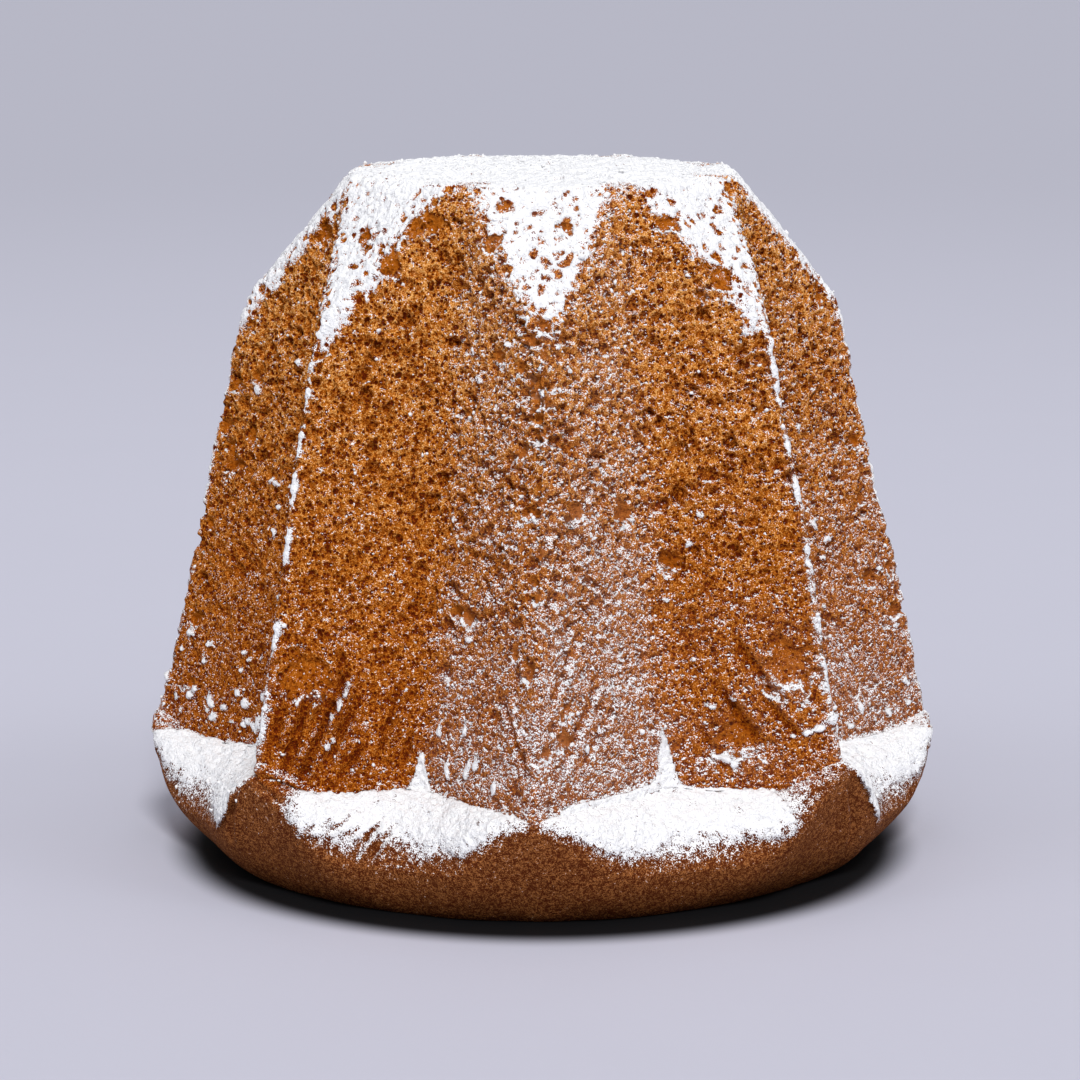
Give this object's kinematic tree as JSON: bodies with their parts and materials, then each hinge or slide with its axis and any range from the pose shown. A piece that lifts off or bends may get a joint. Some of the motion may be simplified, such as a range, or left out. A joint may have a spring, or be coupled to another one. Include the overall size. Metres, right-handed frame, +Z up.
{
  "type": "pandoro",
  "caption": "Whole festive sponge cake in the form of a tapering star: pointed ridges, faceted shoulders, a small flat top, and a swollen sugar-dusted rim at the foot that it stands on.",
  "frame": {"origin": "middle of the underside, on the surface that the cake stands on", "axes": "+Z is up, from the wide foot to the small top; -Y points out through the front ridge; +X is to the right of someone who faces that ridge"},
  "size_m": [0.231, 0.2313, 0.198],
  "materials": {
    "crust": "golden brown, porous baked sponge crust, matte, dusted with icing sugar",
    "icing_sugar": "loose white icing sugar, fine and matte"
  },
  "bodies": {
    "root": {"pandoro": "crust"}
  },
  "joints": []
}
